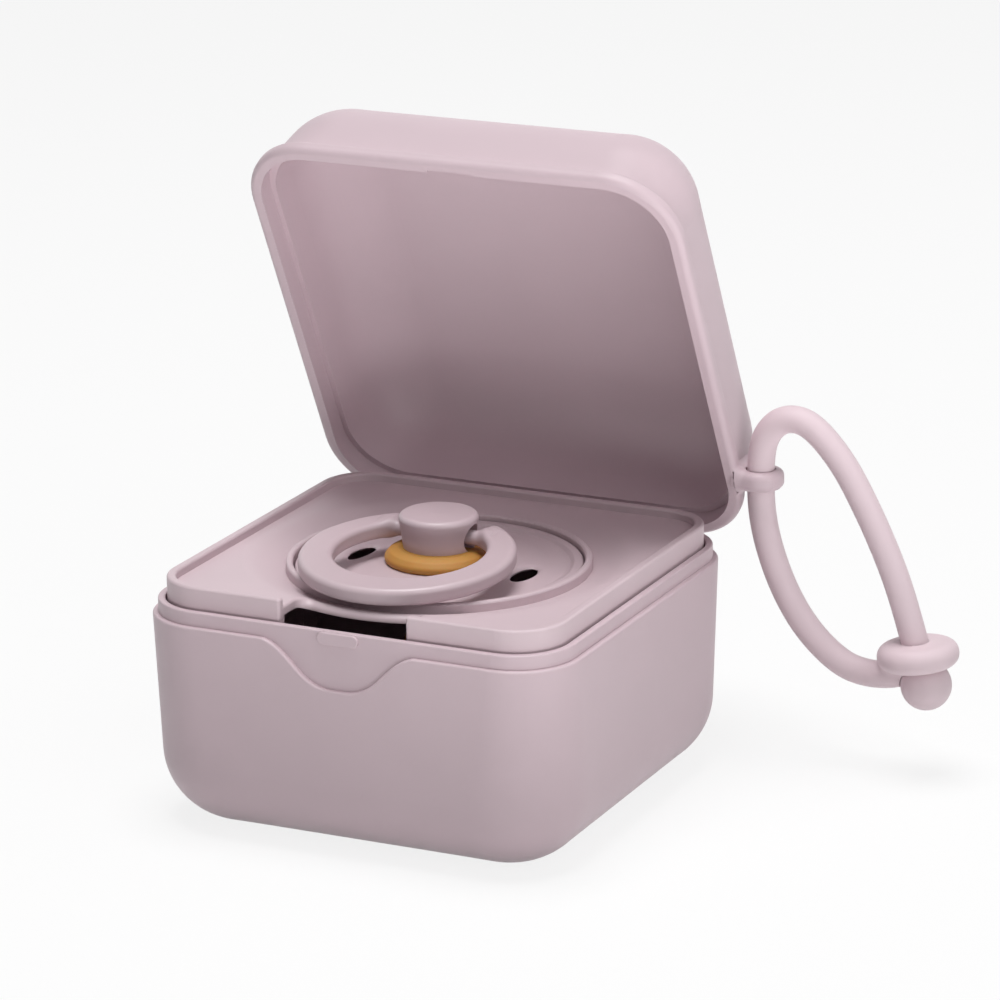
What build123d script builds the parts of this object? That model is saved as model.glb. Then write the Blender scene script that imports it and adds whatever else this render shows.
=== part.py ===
"""Travel pacifier case with a hinged lid, a lift-out tray, a pacifier and a carrying strap.

Millimetres. +Z is up, -Y is the front (latch side) and +X the right (strap side).
The origin is the centre of the base's flat underside, on the surface that it stands on.
"""
from build123d import *
import math
import os

os.makedirs("parts", exist_ok=True)

# ---------------------------------------------------------------- driving dimensions
SLACK = 0.1                 # margin of the bands that pick edges by their place

# Case
CASE_WIDTH = 70.0           # outer width, X
CASE_DEPTH = 70.0           # outer depth, Y
BASE_HEIGHT = 33.5          # up to the shoulder that the lid closes on
BASE_WALL = 2.0             # side walls
BASE_FLOOR = 2.0
BASE_TOP_CORNER = 10.2      # upright corner radius at the shoulder
BASE_FOOT_CORNER = 14.0     # upright corner radius at the underside
BASE_FOOT_ROUND = 11.8      # big rounding of the underside's edge
SHOULDER_STEP = 0.85        # the lip stands this far in from the outer face
SHOULDER_ROUND = 0.35
LIP_HEIGHT = 2.2            # the lip's rise above the shoulder
LIP_ROUND = 0.25
THUMB_HALF_WIDTH = 15.0     # thumb dip in the front shoulder
THUMB_FLAT = 1.0            # half width of the dip's bottom, straight between its curves
THUMB_DEPTH = 6.8
THUMB_TURN = 7.5             # where the dip's S-curve turns over, from the middle
CATCH_WIDTH = 6.8           # catch on the front of the lip
CATCH_HEIGHT = 1.9
CATCH_PROUD = 0.4
CATCH_CLEARANCE = 0.3       # lid's pocket to the catch's ends
RIB_THICKNESS = 1.2         # upright ribs that carry the tray
RIB_PROUD = 2.5
RIB_SPACING = 36.0          # between the two ribs of one wall

# Tray
TRAY_CLEARANCE = 0.26       # tray to the inside of the base
TRAY_TOP = 5.6              # rim's rise above the shoulder
TRAY_WALL = 1.45
TRAY_RIM_DROP = 1.3         # rim down to the deck
TRAY_RIM_ROUND = 0.4
TRAY_SKIRT = 8.2            # whole height of the tray's wall
DECK_THICKNESS = 1.5
DISH_MARGIN = 2.1           # flat deck left between the dish and the rim
DISH_DEPTH = 1.8
DISH_TURN = 0.21            # part of the dish's slope that the soft turn at its edge takes
COLLAR_RADIUS = 23.5
COLLAR_WALL = 1.1
COLLAR_RISE = 1.6           # collar above the bottom of the dish
COLLAR_ROUND = 0.4
SEAT_WIDTH = 2.9            # ledge inside the collar
SEAT_DEPTH = 2.5            # from the collar's top down to the ledge
NOTCH_HALF_WIDTH = 10.4
NOTCH_REAR = 0.755          # notch's rear edge, in parts of the way out over the dish's slope
NOTCH_ROLL = 0.78           # part of the flare that the rolled edge's curve takes
NOTCH_JAMB = 0.42           # round of the notch's sides, in parts of the rolled edge's
NOTCH_CORNER = 2.0
NOTCH_SILL = 2.0            # height of the wall that is left under the notch
NOTCH_FLARE = 0.405         # the same for the inner end of the rolled edge's flare
NOTCH_SKIM = 0.02           # the flare's height over the dish

# Lid, drawn closed and then turned open about the hinge
LID_OVERHANG = 0.3          # the lid's wall at its rim stands this far outside the base
LID_HEIGHT = 20.0
LID_WALL = 1.7
LID_ROOF = 1.8
LID_DRAFT = 2.5             # degrees
LID_TOP_CORNER = 13.5       # the same at the roof
LID_TOP_ROUND = 12.4
BEAD_PROUD = 1.05           # rim bead outside the wall
BEAD_HEIGHT = 2.3
BEAD_ROUND = 0.95
BEAD_TOP_ROUND = 0.75
BEAD_VALLEY = 1.0            # hollow turn from the bead up into the wall
REBATE_DEPTH = 3.2          # room for the lip inside the rim
LID_CLEARANCE = 0.15        # lid to the lip, sideways
LID_REST_GAP = 0.15         # lid's rim over the shoulder when closed
LID_OPEN = 63.15            # degrees from closed, as the case stands open

# Hinge
HINGE_BACK = 1.6            # hinge axis behind the base's rear face
HINGE_DROP = 0.9            # hinge axis under the shoulder
PIN_DIAMETER = 1.8
PIN_CHAMFER = 0.18
PIN_FIT = 0.02              # pin in the base's knuckles, on the radius
PIN_RUNNING = 0.08          # pin in the lid's knuckle, on the radius
KNUCKLE_RADIUS = 1.6
KNUCKLE_LID = 24.0          # length of the lid's knuckle
KNUCKLE_BASE = 8.0          # length of each of the base's knuckles
KNUCKLE_GAP = 0.3
BUTTRESS_DROP = 5.0         # slope under the base's knuckles
BUTTRESS_MEET = math.radians(24)    # where that slope meets the knuckle, under its rear

# Strap eye on the lid
EYE_HOLE = 2.35             # radius
EYE_WALL = 1.35
EYE_HEIGHT = 3.0
EYE_ROUND = 1.1
EYE_ROOT_FRONT = 3.4        # half widths of the eye's root on the bead
EYE_ROOT_REAR = 5.5
EYE_REACH = 3.6             # eye's middle outside the lid's side
EYE_AHEAD = 2.2             # eye's middle in front of the hinge axis, as the lid stands open
EYE_ABOVE = 12.6            # and above it

# Pacifier
SHIELD_RADIUS = 22.1
SHIELD_BAND = 1.7
SHIELD_BAND_RISE = 0.4
SHIELD_THICKNESS = 1.5
SHIELD_ROUND = 0.3
SHIELD_CROWN = 0.6          # rise of the shield's middle
SHIELD_SAG = 0.18           # fall of its face from there, half way to the band
SHIELD_SEAT_GAP = 0.2
VENT_LENGTH = 6.8
VENT_WIDTH = 3.2
VENT_X = 14.0
VENT_Y = 2.0
NECK_RADIUS = 5.2
NECK_CLEARANCE = 0.15
COLLAR_CONE_RADIUS = 8.0
COLLAR_CONE_TOP = 5.5
COLLAR_CONE_HEIGHT = 2.3
COLLAR_CONE_BULGE = 0.6      # outward swell of the collar's side
TEAT_GAP = 0.05
TEAT_LENGTH = 25.0
TEAT_NECK = 4.6
TEAT_BULB = 7.8
KNOB_TOP_RADIUS = 6.25
KNOB_FOOT_RADIUS = 5.5
KNOB_HEIGHT = 5.4
KNOB_ROUND = 0.8
KNOB_DISH = 0.25
KNOB_HOLE = 2.2             # radius of the side holes
KNOB_HOLE_DEPTH = 3.0
RING_OUTER = 16.6
RING_INNER = 11.9
RING_THICKNESS = 2.7
RING_ROUND = 0.9
RING_GAP_HALF = 7.2         # half the ring's opening at the knob
RING_END_ROUND = 1.7        # plan rounding of the ring's two ends
RING_OFFSET = 10.9          # ring's centre in front of its pivot
RING_TILT = 4.2             # degrees, front down
RING_PIVOT_RISE = 2.0       # pivot above the knob's foot
STUB_RADIUS = 1.15
STUB_REACH = 1.6            # stub's length inside the knob
STUB_LENGTH = 4.0           # from the stub's end to well inside the ring's end

# Strap
ROUTE_TURN = 0.45           # part of a run that the strap's turn at its end takes
STRAP_DIAMETER = 4.3
DISC_RADIUS = 6.3
DISC_THICKNESS = 4.0
DISC_ROUND = 1.9
DISC_HOLE = 2.05
DISC_SEAT = 0.75            # countersink under the disc, where the ball sits
BALL_RADIUS = 4.0
BALL_GAP = 0.1
STEM_RADIUS = 1.9

# ------------------------------------------------------------- places worked out from them
SHOULDER_Z = BASE_HEIGHT
LIP_Z = SHOULDER_Z + LIP_HEIGHT
LIP_WIDTH = CASE_WIDTH - 2 * SHOULDER_STEP
LIP_DEPTH = CASE_DEPTH - 2 * SHOULDER_STEP
LIP_CORNER = BASE_TOP_CORNER - SHOULDER_STEP
INSIDE_WIDTH = CASE_WIDTH - 2 * BASE_WALL
INSIDE_DEPTH = CASE_DEPTH - 2 * BASE_WALL
INSIDE_CORNER = BASE_TOP_CORNER - BASE_WALL
INSIDE_FOOT_CORNER = BASE_FOOT_CORNER - BASE_WALL

TRAY_RIM_Z = SHOULDER_Z + TRAY_TOP
TRAY_FOOT_Z = TRAY_RIM_Z - TRAY_SKIRT
TRAY_WIDTH = INSIDE_WIDTH - 2 * TRAY_CLEARANCE
TRAY_DEPTH = INSIDE_DEPTH - 2 * TRAY_CLEARANCE
TRAY_CORNER = INSIDE_CORNER - TRAY_CLEARANCE
DISH_RADIUS = min(TRAY_WIDTH, TRAY_DEPTH) / 2 - TRAY_WALL - DISH_MARGIN
DISH_RUN = DISH_RADIUS - COLLAR_RADIUS
DISH_SLOPE = math.atan2(DISH_DEPTH, DISH_RUN)
DISH_ROUND = DISH_TURN * math.hypot(DISH_RUN, DISH_DEPTH) / math.tan(DISH_SLOPE / 2)
NOTCH_REACH = COLLAR_RADIUS + NOTCH_REAR * DISH_RUN
FLARE_RADIUS = COLLAR_RADIUS + NOTCH_FLARE * DISH_RUN
FLARE_LENGTH = (NOTCH_REACH - FLARE_RADIUS) / math.cos(DISH_SLOPE)
ROLL_RADIUS = NOTCH_ROLL * FLARE_LENGTH / math.tan(math.pi / 4 + DISH_SLOPE / 2)
JAMB_ROUND = NOTCH_JAMB * ROLL_RADIUS
DECK_Z = TRAY_RIM_Z - TRAY_RIM_DROP
DISH_Z = DECK_Z - DISH_DEPTH
COLLAR_Z = DISH_Z + COLLAR_RISE
COLLAR_INNER = COLLAR_RADIUS - COLLAR_WALL
SEAT_Z = COLLAR_Z - SEAT_DEPTH
SEAT_INNER = COLLAR_INNER - SEAT_WIDTH

HINGE_Y = CASE_DEPTH / 2 + HINGE_BACK
HINGE_Z = SHOULDER_Z - HINGE_DROP
KNUCKLE_CLEAR_RADIUS = KNUCKLE_RADIUS + KNUCKLE_GAP
BASE_KNUCKLE_X = KNUCKLE_LID / 2 + KNUCKLE_GAP + KNUCKLE_BASE / 2
HINGE_AXIS = Axis((0, HINGE_Y, HINGE_Z), (1, 0, 0))

RIM_Z = SHOULDER_Z + LID_REST_GAP
REBATE_WIDTH = LIP_WIDTH + 2 * LID_CLEARANCE
REBATE_BACK_DEPTH = LIP_DEPTH + 2 * LID_CLEARANCE
LID_WIDTH = CASE_WIDTH + 2 * LID_OVERHANG
LID_DEPTH = CASE_DEPTH + 2 * LID_OVERHANG
LID_RIM_CORNER = BASE_TOP_CORNER + LID_OVERHANG
LID_SHRINK = 2 * LID_HEIGHT * math.tan(math.radians(LID_DRAFT))
EYE_X = LID_WIDTH / 2 + EYE_REACH
EYE_Y = HINGE_Y - EYE_AHEAD
EYE_Z = HINGE_Z + EYE_ABOVE
eye_closed = Vector(EYE_X, -EYE_AHEAD, EYE_ABOVE).rotate(Axis.X, LID_OPEN) + Vector(
    0, HINGE_Y, HINGE_Z)
eye_axis = Vector(0, 0, 1).rotate(Axis.X, LID_OPEN)
eye_plane = Plane(eye_closed, x_dir=(1, 0, 0), z_dir=eye_axis)

SHIELD_FOOT_Z = SEAT_Z + SHIELD_SEAT_GAP
SHIELD_TOP_Z = SHIELD_FOOT_Z + SHIELD_THICKNESS
CROWN_Z = SHIELD_TOP_Z - SHIELD_BAND_RISE + SHIELD_CROWN
KNOB_FOOT_Z = CROWN_Z + COLLAR_CONE_HEIGHT
KNOB_TOP_Z = KNOB_FOOT_Z + KNOB_HEIGHT
RING_PIVOT_Z = KNOB_FOOT_Z + RING_PIVOT_RISE


def front_plane(y):
    """A sketch plane that faces the front, with sketch x along X and sketch y along Z."""
    return Plane(origin=(0, y, 0), x_dir=(1, 0, 0), z_dir=(0, -1, 0))


def side_plane(x):
    """A sketch plane that faces the right side, with sketch x along Y and sketch y along Z."""
    return Plane(origin=(x, 0, 0), x_dir=(0, 1, 0), z_dir=(1, 0, 0))


# ---------------------------------------------------------------------------- base shell
# The inside of the base, less the upright ribs that the tray stands on.
with BuildPart() as base_inside:
    with BuildSketch(Plane.XY.offset(BASE_FLOOR)):
        RectangleRounded(INSIDE_WIDTH, INSIDE_DEPTH, INSIDE_FOOT_CORNER)
    with BuildSketch(Plane.XY.offset(SHOULDER_Z)):
        RectangleRounded(INSIDE_WIDTH, INSIDE_DEPTH, INSIDE_CORNER)
    loft(ruled=True)
    fillet(base_inside.edges().group_by(Axis.Z)[0], BASE_FOOT_ROUND - BASE_WALL)
    with BuildSketch(Plane.XY.offset(SHOULDER_Z)):
        RectangleRounded(INSIDE_WIDTH, INSIDE_DEPTH, INSIDE_CORNER)
    extrude(amount=2 * LIP_HEIGHT)
    with BuildSketch(Plane.XY.offset(BASE_FLOOR)):
        with GridLocations(RIB_SPACING, INSIDE_DEPTH, 2, 2):
            Rectangle(RIB_THICKNESS, 2 * RIB_PROUD)
        with GridLocations(INSIDE_WIDTH, RIB_SPACING, 2, 2):
            Rectangle(2 * RIB_PROUD, RIB_THICKNESS)
    extrude(amount=TRAY_FOOT_Z - BASE_FLOOR, mode=Mode.SUBTRACT)

with BuildPart() as base_shell:
    with BuildSketch(Plane.XY):
        RectangleRounded(CASE_WIDTH, CASE_DEPTH, BASE_FOOT_CORNER)
    with BuildSketch(Plane.XY.offset(SHOULDER_Z)):
        RectangleRounded(CASE_WIDTH, CASE_DEPTH, BASE_TOP_CORNER)
    loft(ruled=True)
    fillet(base_shell.edges().group_by(Axis.Z)[0], BASE_FOOT_ROUND)
    # thumb dip: the outer skin is cut down in a wave, and the lip's face runs on behind it
    with BuildSketch(front_plane(-LIP_DEPTH / 2)):
        with BuildLine():
            wave = Bezier(
                (-THUMB_HALF_WIDTH, SHOULDER_Z + SHOULDER_ROUND),
                (-THUMB_TURN, SHOULDER_Z + SHOULDER_ROUND),
                (-THUMB_TURN, SHOULDER_Z - THUMB_DEPTH),
                (-THUMB_FLAT, SHOULDER_Z - THUMB_DEPTH),
            )
            Line(wave @ 1, (0, SHOULDER_Z - THUMB_DEPTH))
            Line((0, SHOULDER_Z - THUMB_DEPTH), (0, SHOULDER_Z + 1))
            Line((0, SHOULDER_Z + 1), (-THUMB_HALF_WIDTH, SHOULDER_Z + 1))
            Line((-THUMB_HALF_WIDTH, SHOULDER_Z + 1), wave @ 0)
        make_face()
        mirror(about=Plane.YZ)
    extrude(amount=2 * SHOULDER_STEP, mode=Mode.SUBTRACT)
    # the shoulder's outer edge is softened all round, down through the dip as well
    shoulder_edges = base_shell.faces().filter_by(Plane.XY).sort_by(Axis.Z)[-1].edges()
    dip_edges = base_shell.faces().sort_by(Axis.Y)[0].edges().filter_by_position(
        Axis.Z, SHOULDER_Z - THUMB_DEPTH - SLACK, SHOULDER_Z + SLACK)
    behind_dip = base_shell.edges().filter_by_position(
        Axis.Y, -LIP_DEPTH / 2 - SHOULDER_STEP / 2 - SLACK, -LIP_DEPTH / 2 + SLACK)
    fillet((shoulder_edges - behind_dip) + (dip_edges - shoulder_edges), SHOULDER_ROUND)
    add(base_inside.part, mode=Mode.SUBTRACT)
    # lip that the lid fits over
    with BuildSketch(Plane.XY.offset(SHOULDER_Z)):
        RectangleRounded(LIP_WIDTH, LIP_DEPTH, LIP_CORNER)
        RectangleRounded(INSIDE_WIDTH, INSIDE_DEPTH, INSIDE_CORNER, mode=Mode.SUBTRACT)
    extrude(amount=LIP_HEIGHT)
    fillet(base_shell.edges().group_by(Axis.Z)[-1], LIP_ROUND)
    # catch on the front of the lip
    with BuildSketch(front_plane(-LIP_DEPTH / 2)):
        with Locations((0, LIP_Z - CATCH_HEIGHT / 2 - LIP_ROUND / 2)):
            SlotOverall(CATCH_WIDTH, CATCH_HEIGHT)
    extrude(amount=CATCH_PROUD)
    fillet(base_shell.faces().filter_by(Axis.Y).sort_by(Axis.Y)[1].edges(), CATCH_PROUD / 2)
    # two hinge knuckles with buttresses, room for the lid's knuckle and the pin's bore
    for side in (-1, 1):
        with BuildSketch(side_plane(side * BASE_KNUCKLE_X - KNUCKLE_BASE / 2)):
            with Locations((HINGE_Y, HINGE_Z)):
                Circle(KNUCKLE_RADIUS)
            Polygon(
                (CASE_DEPTH / 2 - BASE_WALL / 2, SHOULDER_Z - SHOULDER_ROUND),
                (HINGE_Y, HINGE_Z + KNUCKLE_RADIUS),
                (HINGE_Y + KNUCKLE_RADIUS * math.cos(BUTTRESS_MEET),
                 HINGE_Z - KNUCKLE_RADIUS * math.sin(BUTTRESS_MEET)),
                (CASE_DEPTH / 2 - BASE_WALL / 2, HINGE_Z - BUTTRESS_DROP),
                align=None,
            )
        extrude(amount=KNUCKLE_BASE)
    with BuildSketch(side_plane(-KNUCKLE_LID / 2 - KNUCKLE_GAP)):
        with Locations((HINGE_Y, HINGE_Z)):
            Circle(KNUCKLE_CLEAR_RADIUS)
    extrude(amount=KNUCKLE_LID + 2 * KNUCKLE_GAP, mode=Mode.SUBTRACT)
    with BuildSketch(side_plane(-CASE_WIDTH / 2)):
        with Locations((HINGE_Y, HINGE_Z)):
            Circle(PIN_DIAMETER / 2 + PIN_FIT)
    extrude(amount=CASE_WIDTH, mode=Mode.SUBTRACT)
base_shell.part.label = "base_shell"
export_step(base_shell.part, "parts/base_shell.step")

# ----------------------------------------------------------------------------- hinge pin
with BuildPart() as hinge_pin:
    with BuildSketch(side_plane(-BASE_KNUCKLE_X - KNUCKLE_BASE / 2)):
        with Locations((HINGE_Y, HINGE_Z)):
            Circle(PIN_DIAMETER / 2)
    extrude(amount=2 * BASE_KNUCKLE_X + KNUCKLE_BASE)
    chamfer(hinge_pin.edges(), PIN_CHAMFER)
hinge_pin.part.label = "hinge_pin"
export_step(hinge_pin.part, "parts/hinge_pin.step")

# ------------------------------------------------------------------------------ tray
def dish_height(radius):
    """Height of the dish's slope at a radius."""
    return DISH_Z + DISH_DEPTH * (radius - COLLAR_RADIUS) / DISH_RUN


# Cutter of the notch in the tray's front. Its rear runs round the collar and flares at the
# top, just over the dish's slope, which leaves a rolled edge on the deck.
NOTCH_SILL_Z = TRAY_FOOT_Z + NOTCH_SILL
NOTCH_TOP_Z = TRAY_RIM_Z + TRAY_RIM_DROP
NOTCH_FAR = math.hypot(NOTCH_HALF_WIDTH, TRAY_DEPTH / 2) + TRAY_WALL
with BuildPart() as notch_cutter:
    with BuildSketch(Plane.XZ):
        Polygon(
            (NOTCH_FAR, NOTCH_SILL_Z),
            (NOTCH_REACH, NOTCH_SILL_Z),
            (NOTCH_REACH, dish_height(NOTCH_REACH) + NOTCH_SKIM),
            (FLARE_RADIUS, dish_height(FLARE_RADIUS) + NOTCH_SKIM),
            (FLARE_RADIUS, NOTCH_TOP_Z),
            (NOTCH_FAR, NOTCH_TOP_Z),
            align=None,
        )
        turn = (NOTCH_REACH, dish_height(NOTCH_REACH) + NOTCH_SKIM)
        fillet(vertices().sort_by_distance(turn)[0], ROLL_RADIUS)
    revolve(axis=Axis.Z)
    with BuildSketch(Plane.XY.offset(NOTCH_SILL_Z)):
        with Locations((0, -NOTCH_FAR / 2)):
            Rectangle(2 * NOTCH_HALF_WIDTH, NOTCH_FAR)
    extrude(amount=NOTCH_TOP_Z - NOTCH_SILL_Z, mode=Mode.INTERSECT)
    cheeks = notch_cutter.edges().filter_by_position(
        Axis.X, NOTCH_HALF_WIDTH, NOTCH_HALF_WIDTH) + notch_cutter.edges().filter_by_position(
        Axis.X, -NOTCH_HALF_WIDTH, -NOTCH_HALF_WIDTH)
    rear = cheeks.filter_by_position(Axis.Y, -NOTCH_REACH, 0)
    fillet(rear.filter_by_position(Axis.Z, NOTCH_SILL_Z + SLACK, NOTCH_TOP_Z - 2 * TRAY_RIM_DROP),
           NOTCH_CORNER)

with BuildPart() as tray:
    with BuildSketch(Plane.XY.offset(TRAY_FOOT_Z)):
        RectangleRounded(TRAY_WIDTH, TRAY_DEPTH, TRAY_CORNER)
    extrude(amount=TRAY_SKIRT)
    with BuildSketch(Plane.XY.offset(DECK_Z)):
        RectangleRounded(TRAY_WIDTH - 2 * TRAY_WALL, TRAY_DEPTH - 2 * TRAY_WALL,
                         TRAY_CORNER - TRAY_WALL)
    extrude(amount=TRAY_RIM_DROP, mode=Mode.SUBTRACT)
    with BuildSketch(Plane.XY.offset(TRAY_FOOT_Z)):
        RectangleRounded(TRAY_WIDTH - 2 * TRAY_WALL, TRAY_DEPTH - 2 * TRAY_WALL,
                         TRAY_CORNER - TRAY_WALL)
    extrude(amount=DECK_Z - DECK_THICKNESS - TRAY_FOOT_Z, mode=Mode.SUBTRACT)
    # the dish, the collar and the ledge that the shield sits on
    with BuildSketch(Plane.XY.offset(DECK_Z)):
        Circle(DISH_RADIUS)
    extrude(amount=-DECK_THICKNESS, mode=Mode.SUBTRACT)
    with BuildSketch(Plane.XZ):
        Polygon(
            (DISH_RADIUS, DECK_Z),
            (COLLAR_RADIUS, DISH_Z),
            (COLLAR_RADIUS, COLLAR_Z),
            (COLLAR_INNER, COLLAR_Z),
            (COLLAR_INNER, SEAT_Z),
            (SEAT_INNER, SEAT_Z),
            (SEAT_INNER, DISH_Z - DECK_THICKNESS),
            (COLLAR_RADIUS, DISH_Z - DECK_THICKNESS),
            (DISH_RADIUS, DECK_Z - DECK_THICKNESS),
            align=None,
        )
    revolve(axis=Axis.Z)
    dish_edge = tray.edges().filter_by(GeomType.CIRCLE).filter_by_position(
        Axis.Z, DECK_Z, DECK_Z).sort_by(SortBy.RADIUS)[-1]
    fillet(dish_edge, DISH_ROUND)
    collar_edges = tray.edges().filter_by(GeomType.CIRCLE).filter_by_position(
        Axis.Z, COLLAR_Z, COLLAR_Z)
    fillet(collar_edges, COLLAR_ROUND)
    rim_edges = tray.edges().group_by(Axis.Z)[-1]
    fillet(rim_edges, TRAY_RIM_ROUND)
    # notch in the front, through the wall and the deck, over a low sill
    add(notch_cutter.part, mode=Mode.SUBTRACT)
    jambs = tray.edges().filter_by_position(
        Axis.X, NOTCH_HALF_WIDTH, NOTCH_HALF_WIDTH) + tray.edges().filter_by_position(
        Axis.X, -NOTCH_HALF_WIDTH, -NOTCH_HALF_WIDTH)
    wall_foot = jambs.filter_by_position(Axis.Z, TRAY_FOOT_Z, DECK_Z - DECK_THICKNESS + SLACK)
    deck_underside = jambs.filter_by_position(
        Axis.Y, -TRAY_DEPTH / 2 + TRAY_WALL - SLACK, 0).filter_by_position(
        Axis.Z, TRAY_FOOT_Z, DECK_Z - SLACK / 2)
    fillet((jambs - wall_foot) - deck_underside, JAMB_ROUND)
tray.part.label = "dispenser_tray"
export_step(tray.part, "parts/dispenser_tray.step")

# ---------------------------------------------------------------------------- lid shell
with BuildPart() as lid_inside:
    with BuildSketch(Plane.XY.offset(RIM_Z)):
        RectangleRounded(LID_WIDTH - 2 * LID_WALL, LID_DEPTH - 2 * LID_WALL,
                         LID_RIM_CORNER - LID_WALL)
    with BuildSketch(Plane.XY.offset(RIM_Z + LID_HEIGHT - LID_ROOF)):
        RectangleRounded(LID_WIDTH - LID_SHRINK - 2 * LID_WALL,
                         LID_DEPTH - LID_SHRINK - 2 * LID_WALL,
                         LID_TOP_CORNER - LID_WALL)
    loft(ruled=True)
    fillet(lid_inside.edges().group_by(Axis.Z)[-1], LID_TOP_ROUND - LID_ROOF)
    # rebate round the rim that takes the lip, and the catch's pocket in its front
    with BuildSketch(Plane.XY.offset(RIM_Z)):
        RectangleRounded(REBATE_WIDTH, REBATE_BACK_DEPTH, LIP_CORNER + LID_CLEARANCE)
    extrude(amount=REBATE_DEPTH)
    with BuildSketch(Plane.XY.offset(RIM_Z)):
        with Locations((0, -REBATE_BACK_DEPTH / 2)):
            Rectangle(CATCH_WIDTH + 2 * CATCH_CLEARANCE, 2 * CATCH_PROUD)
    extrude(amount=REBATE_DEPTH)

# Strap eye: a short sleeve that grows out of the rim bead, upright while the lid stands open.
with BuildPart() as strap_eye:
    with BuildSketch():
        Circle(EYE_HOLE + EYE_WALL)
        Polygon(
            (-EYE_REACH, -EYE_ROOT_FRONT),
            (0, -EYE_HOLE - EYE_WALL),
            (0, EYE_HOLE + EYE_WALL),
            (-EYE_REACH, EYE_ROOT_REAR),
            align=None,
        )
        fillet(vertices().sort_by(Axis.X)[-2:], EYE_WALL)
    extrude(amount=EYE_HEIGHT / 2, both=True)
    fillet(strap_eye.faces().filter_by(Plane.XY).edges(), EYE_ROUND)

with BuildPart() as lid_closed:
    with BuildSketch(Plane.XY.offset(RIM_Z)):
        RectangleRounded(LID_WIDTH, LID_DEPTH, LID_RIM_CORNER)
    with BuildSketch(Plane.XY.offset(RIM_Z + LID_HEIGHT)):
        RectangleRounded(LID_WIDTH - LID_SHRINK, LID_DEPTH - LID_SHRINK, LID_TOP_CORNER)
    loft(ruled=True)
    fillet(lid_closed.edges().group_by(Axis.Z)[-1], LID_TOP_ROUND)
    # bead round the rim
    with BuildSketch(Plane.XY.offset(RIM_Z)):
        RectangleRounded(LID_WIDTH + 2 * BEAD_PROUD, LID_DEPTH + 2 * BEAD_PROUD,
                         LID_RIM_CORNER + BEAD_PROUD)
    extrude(amount=BEAD_HEIGHT)
    fillet(lid_closed.edges().group_by(Axis.Z)[0], BEAD_ROUND)
    bead_top = lid_closed.faces().filter_by(Plane.XY).filter_by_position(
        Axis.Z, RIM_Z + BEAD_HEIGHT, RIM_Z + BEAD_HEIGHT)[0]
    fillet(bead_top.outer_wire().edges(), BEAD_TOP_ROUND)
    fillet(lid_closed.faces().filter_by(Plane.XY).filter_by_position(
        Axis.Z, RIM_Z + BEAD_HEIGHT, RIM_Z + BEAD_HEIGHT)[0].inner_wires()[0].edges(), BEAD_VALLEY)
    add(eye_plane.location * strap_eye.part)
    with BuildSketch(eye_plane):
        Circle(EYE_HOLE)
    extrude(amount=EYE_HEIGHT, both=True, mode=Mode.SUBTRACT)
    # hinge knuckle, carried by the bead, and room for the base's knuckles
    with BuildSketch(side_plane(-KNUCKLE_LID / 2)):
        with Locations((HINGE_Y, HINGE_Z)):
            Circle(KNUCKLE_RADIUS)
        Polygon(
            (CASE_DEPTH / 2, RIM_Z + BEAD_ROUND),
            (HINGE_Y, HINGE_Z),
            (HINGE_Y + KNUCKLE_RADIUS, HINGE_Z + KNUCKLE_RADIUS / 2),
            (CASE_DEPTH / 2 + BEAD_PROUD, RIM_Z + BEAD_HEIGHT),
            align=None,
        )
    extrude(amount=KNUCKLE_LID)
    for side in (-1, 1):
        with BuildSketch(side_plane(side * BASE_KNUCKLE_X - KNUCKLE_BASE / 2 - KNUCKLE_GAP)):
            with Locations((HINGE_Y, HINGE_Z)):
                Circle(KNUCKLE_CLEAR_RADIUS)
        extrude(amount=KNUCKLE_BASE + 2 * KNUCKLE_GAP, mode=Mode.SUBTRACT)
    with BuildSketch(side_plane(-CASE_WIDTH / 2)):
        with Locations((HINGE_Y, HINGE_Z)):
            Circle(PIN_DIAMETER / 2 + PIN_RUNNING)
    extrude(amount=CASE_WIDTH, mode=Mode.SUBTRACT)
    add(lid_inside.part, mode=Mode.SUBTRACT)
lid_shell = lid_closed.part.rotate(HINGE_AXIS, -LID_OPEN)
lid_shell.label = "lid_shell"
export_step(lid_shell, "parts/lid_shell.step")

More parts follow.
